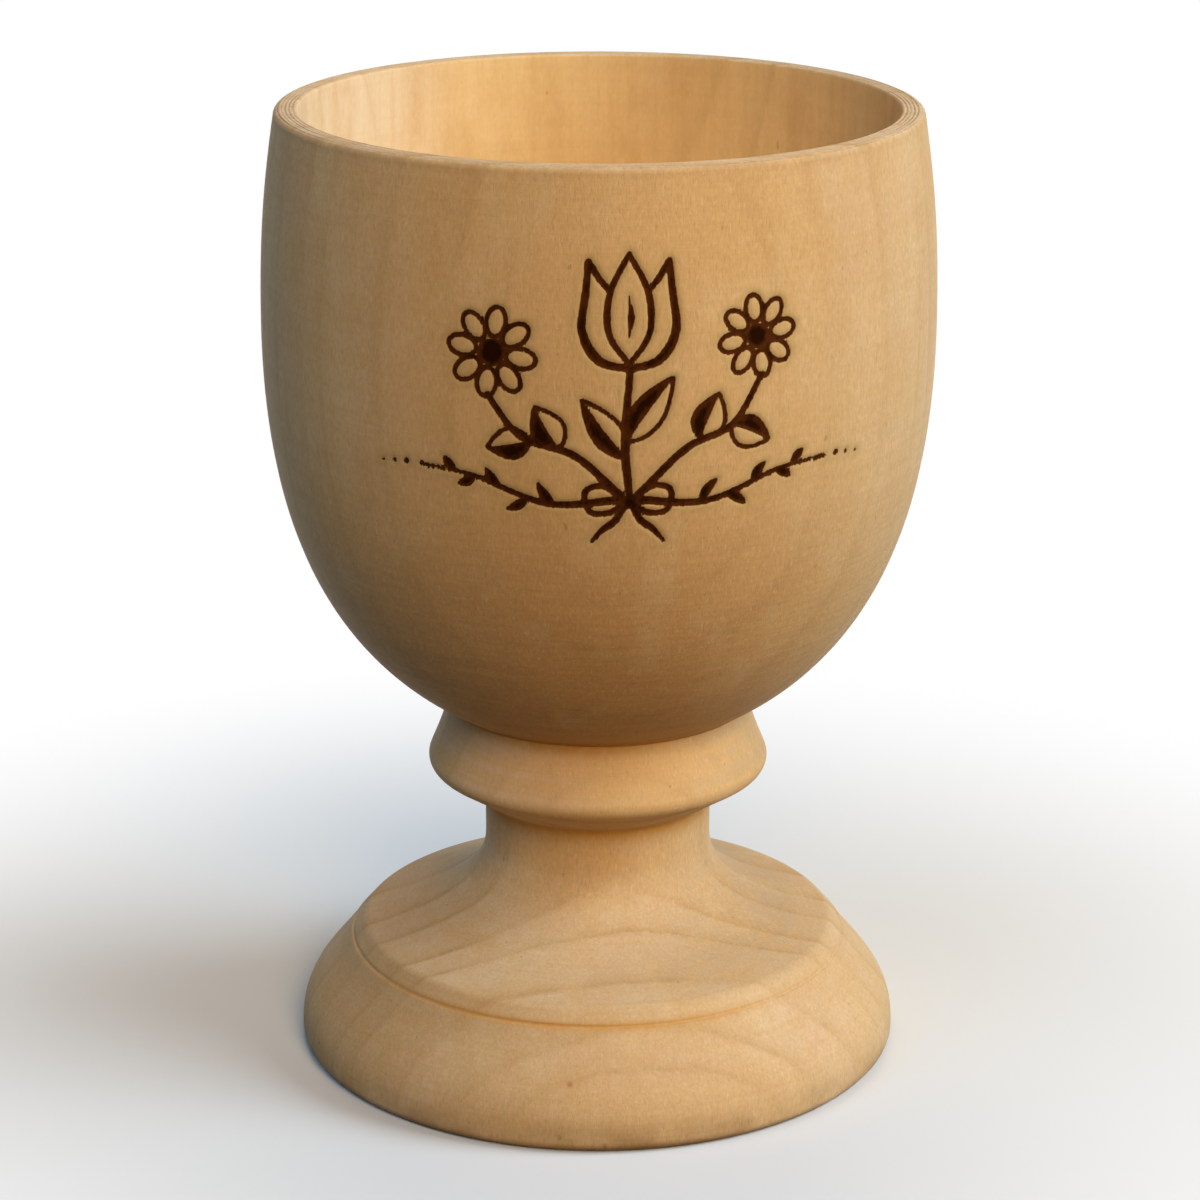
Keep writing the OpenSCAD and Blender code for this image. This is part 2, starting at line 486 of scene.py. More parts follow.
class Figure(Enum):
    """Patterns of the wood, most of them long in the way of the grain, and of its finish.

    The broad ones tint the wood, the next bend and break its growth lines, and the fine ones are streaks,
    fibres, pores, rays, painted glints and specks. Then come patches of painted shade in the corners and in
    the rim, wear, burning, turning marks and gloss, and the last two are those of the glue.
    """

    CLOUD = Pattern((1, 1, 0.3), 0.09, 3, 0.55, 1, 0.35, 0.7, 0.6)
    BLUSH = Pattern((1, 1, 0.5), 0.13, 3, 0.55, 17, 0.42, 0.7, 0.6)
    BEND = Pattern((1, 1, 0.35), 0.045, 2, 0.5, 3)
    RIPPLE = Pattern((1, 1, 0.25), 0.42, 2, 0.5, 8)
    JAGS = Pattern((1, 1, 0.1), 2.6, 1, 0.5, 9)
    PATCHY = Pattern((1, 1, 0.4), 0.15, 2, 0.6, 5, 0.34, 0.62, 1.0, 0.35)
    STREAK = Pattern((1, 1, 0.05), 0.9, 4, 0.6, 2, 0.3, 0.72, 0.32)
    WARM_SPOTS = Pattern((1, 1, 0.6), 0.34, 3, 0.6, 31, 0.46, 0.72, 0.38)
    PALE_SPOTS = Pattern((1, 1, 0.5), 0.26, 3, 0.6, 33, 0.48, 0.74, 0.25)
    MOTTLE = Pattern((1, 1, 0.6), 3.6, 3, 0.7, 12, 0.2, 0.8, -0.10, 0.10)
    FIBRE = Pattern((1, 1, 0.26), 6.5, 3, 0.65, 4, 0.2, 0.8, -0.11, 0.11)
    DASHES = Pattern((1, 0.7, 0.24), 7.5, 1, 0.4, 6, 0.57, 0.72)
    RAYS = Pattern((1, 0.12, 0.2), 4, 1, 0.4, 7, 0.60, 0.76)
    GLINTS = Pattern((1, 1, 0.3), 6, 0, 0, 14, 0.62, 0.78, 0.26)
    SPECKS = Pattern((1, 1, 0.5), 2.4, 0, 0, 9, 0.83, 0.87, 0.35)
    CORNER_SHADE_PATCHES = Pattern((1, 1, 1), 1.3, 2, 0.6, 41, 0.35, 0.6, 0.95, 0.65)
    RIM_SHADE_PATCHES = Pattern((1, 1, 1), 1.9, 2, 0.6, 47, 0.36, 0.58, 0.95, 0.25)
    WEAR = Pattern((1, 1, 1.6), 0.16, 3, 0.6, 43, 0.40, 0.62)
    COMB = Pattern((1, 1, 0.25), 6.5, 2, 0.6, 11)
    HEAT = Pattern((1, 1, 0.6), 1.5, 3, 0.65, 13)
    BANDS = Pattern((1, 1, 1), 1.3, 3, 0.65, 23, 0.42, 0.66)
    TICKS = Pattern((1, 1, 1), 3.4, 4, 0.75, 21)
    GRAIN = Pattern((1, 1, 0.2), 6, 3, 0.6, 15)
    GLUE_CLOUDS = Pattern((1, 1, 1), 0.5, 3, 0.6, 1, 0.3, 0.7)
    GLUE_BUBBLES = Pattern((1, 1, 1), 2.4, 1, 0.4, 2, 0.66, 0.78)


class Sheet:
    """Lays out and joins the nodes of one material.

    Attributes:
        spot: Place in the object, in millimetres.
        place: The same, turned about the axis.
        x: Part of the place to the right.
        across: Part of the place from front to back.
        up: Height.
        by_x: Range by x, with the arguments of range after its value.
        by_depth: Range by across.
        by_height: Range by height.
    """

    def __init__(self, name: str, turn: float = 0.0) -> None:
        """Starts an empty material with its shader, output and places, turned by an angle in degrees."""
        self.material = bpy.data.materials.new(name)
        self.material.use_nodes = True
        self.tree = self.material.node_tree
        self.tree.nodes.clear()
        self.shader = self.tree.nodes.new("ShaderNodeBsdfPrincipled")
        self.output = self.tree.nodes.new("ShaderNodeOutputMaterial")
        self.tree.links.new(self.shader.outputs["BSDF"], self.output.inputs["Surface"])
        self.spot = self.stretched(self.node("TexCoord").outputs["Object"], (1 / MM, 1 / MM, 1 / MM))
        mapping = self.node("Mapping", {"Vector": self.spot, "Rotation": (0.0, 0.0, math.radians(turn))})
        self.place = mapping.outputs[0]
        self.x, self.across, self.up = self.node("SeparateXYZ", {0: self.place}).outputs
        self.by_x, self.by_depth, self.by_height = (functools.partial(self.range, axis)
                                                    for axis in (self.x, self.across, self.up))

    def node(self, kind: str, inputs: dict | None = None, **settings: object) -> bpy.types.Node:
        """Adds a node of a kind, sets it, and fills its inputs with values or joins them to sockets."""
        made = self.tree.nodes.new(f"ShaderNode{kind}")
        for key, value in settings.items():
            setattr(made, key, value)
        for key, value in (inputs or {}).items():
            self.put(value, made.inputs[key])
        return made

    def put(self, value: object, socket: Socket) -> None:
        """Joins an output socket to an input, or sets the input to a value."""
        if isinstance(value, Socket):
            self.tree.links.new(value, socket)
        else:
            socket.default_value = value

    def finish(self, **values: object) -> bpy.types.Material:
        """Fills the shader's inputs, named with an underscore for each space, and hands over the material."""
        for key, value in values.items():
            self.put(value, self.shader.inputs[key.replace("_", " ")])
        return self.material

    def value(self, name: str) -> Socket:
        """Value of a point attribute."""
        return self.node("Attribute", attribute_name=name).outputs["Fac"]

    def math(self, operation: str, *values: object, clamp: bool = False) -> Socket:
        """Result of a Math node."""
        inputs = dict(enumerate(values))
        return self.node("Math", inputs, operation=operation, use_clamp=clamp).outputs[0]

    def times(self, *values: object) -> object:
        """Product of all the values."""
        return functools.reduce(lambda one, other: self.math("MULTIPLY", one, other), values)

    def total(self, *values: object) -> object:
        """Sum of all the values."""
        return functools.reduce(lambda one, other: self.math("ADD", one, other), values)

    def scaled(self, value: object, factor: object, rest: object) -> Socket:
        """Value times a factor, plus a rest."""
        return self.math("MULTIPLY_ADD", value, factor, rest)

    def swing(self, noise: object, strength: object) -> Socket:
        """Noise about nothing: its way from the middle, times a strength."""
        return self.times(self.math("SUBTRACT", noise, 0.5), strength)

    def range(self, value: object, low: float, high: float, most: float = 1.0, least: float = 0.0,
              smooth: bool = True) -> Socket:
        """Value carried from low and high to the least and the most, clamped, with soft ends if asked."""
        inputs = {"Value": value, "From Min": low, "From Max": high, "To Min": least, "To Max": most}
        kind = "SMOOTHSTEP" if smooth else "LINEAR"
        return self.node("MapRange", inputs, interpolation_type=kind).outputs[0]

    def stretched(self, place: object, factors: tuple[float, float, float]) -> Socket:
        """Place with each axis scaled by its own factor, so that noise on it comes out long or thin."""
        return self.node("VectorMath", {0: place, 1: factors}, operation="MULTIPLY").outputs[0]

    def noise(self, figure: Figure, place: Socket | None = None) -> Socket:
        """Bare noise of a pattern, between 0 and 1, at the turned place or another one."""
        pattern = figure.value
        where = self.stretched(self.place if place is None else place, pattern.stretch)
        inputs = {"Vector": where, "W": pattern.cut, "Scale": pattern.scale, "Detail": pattern.detail,
                  "Roughness": pattern.rough}
        return self.node("TexNoise", inputs, noise_dimensions="4D").outputs[0]

    def spots(self, figure: Figure, place: Socket | None = None, smooth: bool = True) -> Socket:
        """Noise of a pattern, carried from the range that counts to its values."""
        pattern = figure.value
        noise = self.noise(figure, place)
        return self.range(noise, pattern.low, pattern.high, pattern.most, pattern.least, smooth)

    def ramp(self, value: object, stops: Stops) -> Socket:
        """Grey ramp with straight runs between stops of place and value."""
        made = self.node("ValToRGB", {"Fac": value})
        elements = made.color_ramp.elements
        while len(elements) > 1:
            elements.remove(elements[-1])
        elements[0].position = stops[0][0]
        elements[0].color = (*(stops[0][1],) * 3, 1.0)
        for place, grey in stops[1:]:
            elements.new(place).color = (grey, grey, grey, 1.0)
        return made.outputs["Color"]

    def mix(self, share: object, low: object, high: object, blend: str = "MIX") -> Socket:
        """Colour mixed from low to high by a share."""
        made = self.node("Mix", data_type="RGBA", blend_type=blend)
        for value, index in ((share, 0), (low, 6), (high, 7)):
            self.put((*value, 1.0) if isinstance(value, tuple) else value, made.inputs[index])
        return made.outputs[2]

    def washed(self, colour: object, *washes: tuple) -> object:
        """Colour with washes laid over it in turn: each is a tint, then shares that are multiplied."""
        for tint, *shares in washes:
            colour = self.mix(self.times(*shares), colour, tint)
        return colour

    def shaded(self, colour: object, change: object) -> Socket:
        """Colour made lighter or darker: multiplied by one plus the change."""
        change = self.math("ADD", change, 1.0)
        grey = self.node("CombineColor", {0: change, 1: change, 2: change}).outputs[0]
        return self.mix(1.0, colour, grey, "MULTIPLY")


@dataclass(frozen=True)
class TurnedWood:
    """Pale close-grained wood, turned and sanded, with growth layers, fibres, pores and turning marks.

    Growth layers are near-flat sheets that stand upright. Each darkens towards the line at its outer face.

    Attributes:
        early: Colour of the pale part of a growth layer.
        late: Colour of its dark line.
        warm: Colour of the broad warmer clouds.
        rosy: Colour of the broad pinker clouds.
        ruddy: Colour of the redder wood at the front.
        russet: Colour of the painted shade at the front of the bowl's underside.
        pale_wood_and_light: Colour of the paler wood towards the back, partly painted light on the bowl's
            inner back wall, and of pale spots and painted glints.
        end_pale: Colour of bare end grain.
        golden: Colour of the inside of the bowl.
        cream: Colour of the inside towards its left.
        pink: Colour of the painted light on the left of the collar.
        deep: Colour of the painted shade on the right of the flange and of the collar.
        corner_shade: Colour of the painted shade in corners and in the groove.
        shade_brown: Colour of the painted shade in the rim's tool lines and on its outer rounding, and low on
            the left of the bowl.
        stain: Colour of specks, of the pin knot and of the worn bottom edge.
        char: Colour of a deep burn.
        scorch: Colour of a shallow burn.
        toasted: Colour of the wood just outside a burn.
        layers: Places of the growth lines, along the way across the layers, in millimetres.
        layer_turn: How far the sheets are turned about the axis, in degrees.
        layer_edge: Half the way across the layers that the list covers, in millimetres.
        layer_tone: How dark a layer is, by the share of the way from its line inwards.
        lean: How far the sheets at the back lean, in millimetres for each millimetre of height.
        lean_z: Height at which the lean is nothing.
        sway: How far the sheets step towards the front between the two heights of the sway.
        sway_low_z: Height below which they haven't stepped.
        sway_high_z: Height above which they have.
        knot: Place of a pin knot on the foot.
    """

    early: Colour = (0.76, 0.510, 0.265)
    late: Colour = (0.49, 0.270, 0.100)
    warm: Colour = (0.67, 0.385, 0.145)
    rosy: Colour = (0.74, 0.465, 0.270)
    ruddy: Colour = (0.76, 0.430, 0.165)
    russet: Colour = (0.60, 0.278, 0.094)
    pale_wood_and_light: Colour = (0.84, 0.620, 0.330)
    end_pale: Colour = (0.74, 0.565, 0.380)
    golden: Colour = (0.88, 0.590, 0.240)
    cream: Colour = (0.86, 0.690, 0.460)
    pink: Colour = (0.90, 0.590, 0.370)
    deep: Colour = (0.53, 0.360, 0.204)
    corner_shade: Colour = (0.64, 0.300, 0.060)
    shade_brown: Colour = (0.40, 0.250, 0.130)
    stain: Colour = (0.30, 0.140, 0.045)
    char: Colour = (0.022, 0.006, 0.001)
    scorch: Colour = (0.088, 0.022, 0.005)
    toasted: Colour = (0.48, 0.310, 0.110)
    layers: tuple[float, ...] = (-20.4, -18.6, -15.1, -10.6, -8.4, -4.3, -0.6, 3.9, 7.2, 12.6, 15.4, 18.6,
                                 21.4)
    layer_turn: float = 8.5
    layer_edge: float = 26.0
    layer_tone: Stops = ((0.0, 0.34), (0.03, 0.84), (0.07, 0.94), (0.13, 0.66), (0.22, 0.40), (0.48, 0.17),
                         (0.92, 0.0), (1.0, 0.34))
    lean: float = 0.2
    lean_z: float = 60.0
    sway: float = 2.0
    sway_low_z: float = 11.0
    sway_high_z: float = 38.0
    knot: tuple[float, float, float] = (-1.9, -20.95, 4.77)

    def material(self) -> bpy.types.Material:
        """Builds the wood out of its parts: layers, figure, painted shade and wear, burn, then the surface."""
        sheet = Sheet("turned_wood", -self.layer_turn)
        colour, pores = self._figure(sheet, self._growth(sheet))
        colour, burned = self._burned(sheet, self._marked_and_shaded(sheet, colour))
        return self._surface(sheet, colour, pores, burned)

    def _growth(self, sheet: Sheet) -> Socket:
        """How dark the growth layer is, from 0 in its pale part to 1 on its line.

        The way across the layers, bent by slow and jagged noise and by the lean at the back, is carried to
        a layer number that grows by 1 from line to line. Its fraction falls off from the line inwards. The
        lines show most on end grain and come and go along the grain.
        """
        end_grain = sheet.value("end_grain")
        bent = sheet.total(
            sheet.across,
            sheet.swing(sheet.noise(Figure.BEND), 1.6),
            sheet.swing(sheet.noise(Figure.RIPPLE), 0.6),
            sheet.swing(sheet.noise(Figure.JAGS), sheet.range(end_grain, 0.1, 0.6, 0.06, 0.36)),
            sheet.times(sheet.math("SUBTRACT", sheet.up, self.lean_z), sheet.by_depth(2, 18, self.lean)),
            sheet.by_height(self.sway_low_z, self.sway_high_z, self.sway),
        )
        share = sheet.range(bent, -self.layer_edge, self.layer_edge, smooth=False)
        count = len(self.layers) + 1
        lines = [(0.5 + way / (2 * self.layer_edge), (index + 1) / count)
                 for index, way in enumerate(self.layers)]
        number = sheet.times(sheet.ramp(share, ((0.0, 0.0), *lines, (1.0, 1.0))), count)
        tone = sheet.ramp(sheet.math("FRACT", number), self.layer_tone)
        shown = sheet.math("ADD", sheet.range(end_grain, 0.25, 0.9, 0.76, 0.38),
                           sheet.times(sheet.value("hollow"), -0.15), clamp=True)
        return sheet.times(tone, shown, sheet.by_height(7.6, 8.8, 1.0, 0.72), sheet.spots(Figure.PATCHY))

    def _zones(self, sheet: Sheet) -> Socket:
        """Broad tones of the blank: slow clouds, how the wood changes across it and up it, partly painted
        light towards the back and painted shade under the front of the bowl.
        """
        hollow = sheet.value("hollow")
        waist = sheet.total(sheet.by_height(15.5, 18.5, 0.35), sheet.by_height(26, 30, 0.2))
        return sheet.washed(
            self.early,
            (self.warm, sheet.spots(Figure.CLOUD)),
            (self.rosy, sheet.spots(Figure.BLUSH)),
            # Paler towards the back: partly the wood's own tone, partly painted light on the bowl's inner back
            # wall.
            (self.pale_wood_and_light, sheet.by_depth(5, 13, 0.7)),
            (self.warm, sheet.by_depth(-14, -24, 0.5)),
            (self.warm, sheet.by_height(54, 36), waist),
            (self.ruddy, self._front(sheet, 0.72), sheet.by_height(18, 30, 0.65, 0.2)),
            # Painted shade under the front of the bowl, darker lower down.
            (self.russet, self._front(sheet, 0.4), sheet.by_height(54, 36, 0.65), sheet.by_height(26, 29)),
            (self.end_pale, sheet.by_height(17.5, 14, 0.15)),
            (self.golden, hollow, sheet.by_x(-14, -2, 0.75)),
            (self.cream, hollow, sheet.by_x(-7, -16, 0.8)),
        )

    @staticmethod
    def _front(sheet: Sheet, least: float) -> Socket:
        """How near the front a place lies: the cosine of its angle about the axis, from the least to 0.99."""
        flat = sheet.stretched(sheet.spot, (1, 1, 0))
        outwards = sheet.node("VectorMath", {0: flat}, operation="NORMALIZE").outputs[0]
        cosine = sheet.node("VectorMath", {0: outwards, 1: (0, -1, 0)}, operation="DOT_PRODUCT")
        return sheet.range(cosine.outputs["Value"], least, 0.99)

    def _figure(self, sheet: Sheet, growth: Socket) -> tuple[Socket, Socket]:
        """Colour of the bare wood, and how deep its pores are.

        The broad tones come first, then painted shade on the right of the flange and of the collar, painted
        light on the collar's left and painted shade low on the bowl's left side, then growth lines, streaks
        and turning bands, and last the fibres, which are fainter inside the bowl and on the collar, with
        painted glints among them.

        Returns:
            The colour and the pores, from 0 to 1.
        """
        hollow, end_grain, by_height = sheet.value("hollow"), sheet.value("end_grain"), sheet.by_height
        bare = sheet.total(by_height(24, 17, 0.38), by_height(50, 62, 0.75))
        flange = sheet.times(by_height(8.4, 10.4), by_height(20, 14, 0.8))
        collar = sheet.times(by_height(21, 22.5), by_height(27, 26.6, 0.45))
        shade = sheet.times(by_height(48, 34, 0.4), by_height(26.6, 27))
        bands = sheet.spots(Figure.BANDS, self._turning(sheet, 0.03))
        banded = sheet.scaled(by_height(54, 30, 0.16), by_height(20, 22), sheet.scaled(hollow, -0.14, 0.24))
        colour = sheet.washed(
            self._zones(sheet),
            (self.end_pale, sheet.range(end_grain, 0.5, 0.95), bare),
            # Painted shade on the right of the flange and of the collar, and painted light on the left of the
            # collar.
            (self.deep, flange, sheet.by_x(-4, 9)),
            (self.deep, collar, sheet.by_x(2, 11)),
            (self.pink, collar, sheet.by_x(0, -8)),
            # Painted shade low on the left of the bowl.
            (self.shade_brown, shade, sheet.by_x(-3, -15)),
            (self.late, growth),
            (self.warm, sheet.spots(Figure.STREAK)),
            (self.warm, sheet.spots(Figure.WARM_SPOTS)),
            (self.pale_wood_and_light, sheet.spots(Figure.PALE_SPOTS)),
            (self.warm, bands, banded),
            (self.ruddy, bands, collar),
        )
        fine = sheet.total(*(sheet.spots(figure, smooth=False) for figure in (Figure.FIBRE, Figure.MOTTLE)))
        calm = sheet.scaled(hollow, -0.6, sheet.scaled(collar, -1.2, 1.0))
        open_grain = sheet.scaled(hollow, -0.75, sheet.range(end_grain, 0.3, 0.9, 0.55, 1.0))
        pores, rays = (sheet.math("MULTIPLY", sheet.spots(figure), open_grain, clamp=True)
                       for figure in (Figure.DASHES, Figure.RAYS))
        colour = sheet.washed(
            sheet.shaded(colour, sheet.times(fine, calm)),
            (self.late, pores, 0.20),
            (self.late, rays, 0.16),
            # Painted glints: pale flecks that stand for light shining off cut pores.
            (self.pale_wood_and_light, sheet.spots(Figure.GLINTS)),
            (self.stain, sheet.spots(Figure.SPECKS)),
        )
        return colour, pores

    def _marked_and_shaded(self, sheet: Sheet, colour: Socket) -> Socket:
        """Colour with painted shade in the corners, the groove and the rim, a pin knot and a worn bottom edge.
        """
        knot = sheet.node("VectorMath", {0: sheet.spot, 1: self.knot}, operation="DISTANCE")
        away = knot.outputs["Value"]
        return sheet.washed(
            colour,
            # Painted shade: amber darkening in the corners, at the seat and in the groove, broken up in
            # patches.
            (self.corner_shade, sheet.value("recess"), sheet.spots(Figure.CORNER_SHADE_PATCHES)),
            # Painted shade in the rim's tool lines and on its outer rounding, broken up in patches.
            (self.shade_brown, sheet.value("rim_shade"), sheet.spots(Figure.RIM_SHADE_PATCHES)),
            (self.warm, sheet.range(away, 1.3, 0.2, 0.4)),
            (self.stain, sheet.range(away, 0.32, 0.06, 0.55)),
            (self.stain, sheet.by_height(3, 0.3, 0.5), sheet.spots(Figure.WEAR)),
        )

    @staticmethod
    def _turning(sheet: Sheet, slow: float) -> Socket:
        """Way along the outline in millimetres, with a little of the place, so that marks run round."""
        way = sheet.node("SeparateXYZ", {0: sheet.node("UVMap", uv_map="turning").outputs[0]}).outputs["Y"]
        axes = (sheet.x, slow), (sheet.across, slow), (way, MM_PER_V)
        return sheet.node("CombineXYZ", dict(enumerate(sheet.times(*axis) for axis in axes))).outputs[0]

    def _burned(self, sheet: Sheet, colour: Socket) -> tuple[Socket, Socket]:
        """Colour with the burned lines in it, and where they are.

        The attribute near_burn falls with the distance from the edge of a mark, and is 0 away from all.

        Returns:
            The colour and the burn, from 0 to 1.
        """
        distance = sheet.math("SUBTRACT", BurnedPosy.reach, sheet.value("near_burn"))
        spread = sheet.scaled(sheet.value("fade"), 1.2, 0.18)
        ragged = sheet.total(distance, sheet.swing(sheet.noise(Figure.COMB), spread))
        burned = sheet.range(ragged, 0.03, -0.04)
        halo = sheet.math("POWER", sheet.range(ragged, 0.8, 0), 1.5)
        depth = sheet.math("SUBTRACT", sheet.times(sheet.noise(Figure.HEAT), 0.9), distance)
        black = sheet.mix(sheet.range(depth, 0.46, 0.84), self.scorch, self.char)
        return sheet.washed(colour, (self.toasted, halo, 0.5), (black, burned)), burned

    def _surface(self, sheet: Sheet, colour: Socket, pores: Socket, burned: Socket) -> bpy.types.Material:
        """Fine relief and gloss: turning marks by the way along the outline, fibres, pores and burns."""
        hollow, grain = sheet.value("hollow"), sheet.noise(Figure.GRAIN)
        ticks = sheet.noise(Figure.TICKS, self._turning(sheet, 0.08))
        parts = ((ticks, 1.1), (grain, 0.5), (pores, -0.4), (burned, -0.4))
        relief = sheet.total(*(sheet.times(*part) for part in parts))
        bump = {"Strength": sheet.range(hollow, 0, 1, 0.2, 0.5), "Distance": 0.035 * MM, "Height": relief}
        combed = sheet.scaled(sheet.by_height(56, 34, 0.3), sheet.by_height(26.4, 26.8),
                              sheet.scaled(hollow, -0.08, 0.13))
        return sheet.finish(
            Base_Color=sheet.shaded(colour, sheet.swing(ticks, combed)),
            Roughness=sheet.scaled(burned, 0.25, sheet.scaled(grain, 0.16, 0.44)),
            Normal=sheet.node("Bump", bump).outputs[0],
            Specular_IOR_Level=sheet.range(burned, 0, 1, 0, 0.06),
        )


@dataclass(frozen=True)
class CuredGlue:
    """Cured wood glue: dull amber, with slow clouds and a few small bubbles."""

    pale: Colour = (0.78, 0.68, 0.42)
    deep: Colour = (0.62, 0.48, 0.24)

    def material(self) -> bpy.types.Material:
        """Builds the glue: clouds of two tones, bubbles as bump, and an even dull gloss."""
        sheet = Sheet("cured_glue")
        cloud = sheet.spots(Figure.GLUE_CLOUDS)
        bump = {"Strength": 0.4, "Distance": 0.05 * MM, "Height": sheet.spots(Figure.GLUE_BUBBLES)}
        return sheet.finish(
            Base_Color=sheet.mix(cloud, self.pale, self.deep),
            Roughness=sheet.range(cloud, 0, 1, 0.55, 0.42),
            Normal=sheet.node("Bump", bump).outputs[0],
        )


def recess_near(outline: Array, corner: Array | Place, spread: float) -> Array:
    """How deep in a corner each row lies: 1 there, falling off with the square of the way over the spread.

    Args:
        outline: Radius and height of each row.
        corner: Radius and height of the corner.
        spread: How far its shade reaches, in millimetres.

    Returns:
        A column with one value for each row.
    """
    return np.exp(-(np.linalg.norm(outline - np.asarray(corner), axis=1) / spread) ** 2)[:, None]


@dataclass
class Bowl:
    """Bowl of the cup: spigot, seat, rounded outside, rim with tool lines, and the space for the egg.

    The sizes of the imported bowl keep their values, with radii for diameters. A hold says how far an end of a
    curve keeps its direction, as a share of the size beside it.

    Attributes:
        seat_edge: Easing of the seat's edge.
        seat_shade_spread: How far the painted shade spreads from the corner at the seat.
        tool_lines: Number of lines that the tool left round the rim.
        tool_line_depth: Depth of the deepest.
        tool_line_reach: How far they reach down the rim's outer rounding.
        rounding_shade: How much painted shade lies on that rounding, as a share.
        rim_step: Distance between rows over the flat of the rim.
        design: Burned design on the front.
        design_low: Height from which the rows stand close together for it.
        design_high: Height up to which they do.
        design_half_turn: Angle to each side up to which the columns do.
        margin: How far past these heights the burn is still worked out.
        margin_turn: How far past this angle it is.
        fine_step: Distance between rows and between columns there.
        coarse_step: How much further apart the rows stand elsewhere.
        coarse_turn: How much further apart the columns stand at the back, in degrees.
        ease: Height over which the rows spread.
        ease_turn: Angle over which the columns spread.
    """

    wide_h: float = 28.7
    rim_inset: float = 1.2
    rim_wall: float = 1.7
    mouth_straight_h: float = 12.0
    rim_round: float = 0.5
    rim_bevel: float = 0.2
    seat_slope: float = 29.0
    seat_hold: float = 0.86
    side_hold: float = 0.445
    top_hold: float = 0.41
    rim_hold: float = 0.34
    seat_r: float = 11.25
    seat_edge: float = 0.1
    seat_shade_spread: float = 1.8
    spigot_r: float = 5.5
    spigot_bevel: float = 0.8
    tool_lines: int = 5
    tool_line_depth: float = 0.055
    tool_line_reach: float = 0.32
    rounding_shade: float = 0.3
    rim_step: float = 0.032
    design: BurnedPosy = field(default_factory=BurnedPosy)
    design_low: float = 43.5
    design_high: float = 67.5
    design_half_turn: float = 44.0
    margin: float = 3.0
    margin_turn: float = 6.0
    fine_step: float = 0.19
    coarse_step: float = 0.4
    coarse_turn: float = 3.0
    ease: float = 5.0
    ease_turn: float = 40.0

    def __post_init__(self) -> None:
        """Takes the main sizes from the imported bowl."""
        low, high = node_corners("bowl")
        self.radius = high[0]
        self.rim_z = high[2]
        self.spigot_z = low[2]
        self.seat_z = node_corners("pedestal")[1][2]
        self.rim_r = self.radius - self.rim_inset
        self.mouth_r = self.rim_r - self.rim_wall

    def _side(self) -> Array:
        """Outside from the seat to the rim: two cubic curves that meet upright at the widest ring."""
        seat = np.array([self.seat_r, self.seat_z + self.seat_edge])
        wide = np.array([self.radius, self.seat_z + self.wide_h])
        rim = np.array([self.rim_r, self.rim_z - self.rim_round])
        side_h = rim[1] - wide[1]
        leave = seat + self.seat_hold * (self.radius - self.seat_r) * heading(self.seat_slope)
        lean = np.array([2 * self.rim_inset / side_h, -1.0])
        low = curve(seat, leave, wide - (0, self.side_hold * self.wide_h), wide, 400)
        high = curve(wide, wide + (0, self.top_hold * side_h), rim + self.rim_hold * side_h * lean, rim, 200)
        side = joined(low, high)
        outside = np.maximum(self.design_low - side[:, 1], side[:, 1] - self.design_high)
        spacing = self.fine_step + self.coarse_step * smooth_step(outside, 0.0, self.ease)
        return walk(side, spacing)

    def outline(self) -> Array:
        """Closed outline from the end of the spigot, up the outside, over the rim and down the inside."""
        rim_out, rim_in = self.rim_r - self.rim_round, self.mouth_r + self.rim_bevel
        straight_z = self.rim_z - self.mouth_straight_h
        seat_in = self.seat_r - self.seat_edge
        end_r, bevel_z = self.spigot_r - self.spigot_bevel, self.spigot_z + self.spigot_bevel
        return joined(
            walk(line((0, self.spigot_z), (end_r, self.spigot_z)), 1.5),
            walk(line((end_r, self.spigot_z), (self.spigot_r, bevel_z)), 0.6),
            walk(line((self.spigot_r, bevel_z), (self.spigot_r, self.seat_z)), 1.5),
            walk(line((self.spigot_r, self.seat_z), (seat_in, self.seat_z)), 1.5),
            arc((seat_in, self.seat_z + self.seat_edge), self.seat_edge, -90, 0, 4),
            self._side(),
            arc((rim_out, self.rim_z - self.rim_round), self.rim_round, 0, 90, 24),
            walk(line((rim_out, self.rim_z), (rim_in, self.rim_z)), self.rim_step),
            arc((rim_in, self.rim_z - self.rim_bevel), self.rim_bevel, 90, 180, 5),
            walk(line((self.mouth_r, self.rim_z - self.rim_bevel), (self.mouth_r, straight_z)), 0.7),
            walk(arc((0, straight_z), self.mouth_r, 0, -90, 90), 1.1),
        )

    def _angles(self) -> Array:
        """Angles of the columns, close together behind the design and wide apart at the back."""
        turn = np.linspace(-math.pi, math.pi, 1441)
        past = np.abs(np.degrees(turn)) - self.design_half_turn
        spread = smooth_step(past, 0, self.ease_turn)
        spacing = np.degrees(self.fine_step / self.radius) + self.coarse_turn * spread
        even = walk(np.stack([np.degrees(turn), np.zeros_like(turn)], axis=1), spacing)
        return np.radians(even[:-1, 0])

    def build(self, wood: bpy.types.Material) -> bpy.types.Object:
        """Makes the bowl with its burned lines let in, and dresses it.

        Args:
            wood: Material of the bowl.

        Returns:
            The finished piece.
        """
        lathe = Lathe(self.outline(), self._angles())
        radius, height = lathe.outline.T
        outer = (lathe.facing[:, 0] > 0.3) & (height > self.seat_z + 1) & (height < self.rim_z - 1)
        low, high = self.design_low - self.margin, self.design_high + self.margin
        rows = np.flatnonzero(outer & (height > low) & (height < high))
        turn = np.abs(np.degrees(lathe.angles))
        columns = np.flatnonzero(turn < self.design_half_turn + self.margin_turn)
        up, across = np.meshgrid(height[rows], lathe.angles[columns] * self.radius, indexing="ij")
        distance = np.full(lathe.shape, self.design.reach)
        fade = np.zeros(lathe.shape)
        distance[np.ix_(rows, columns)], fade[np.ix_(rows, columns)] = self.design.burn(across, up)

        furrows = self._rim_sink(lathe)
        below = (self.rim_z - height) / self.rim_round
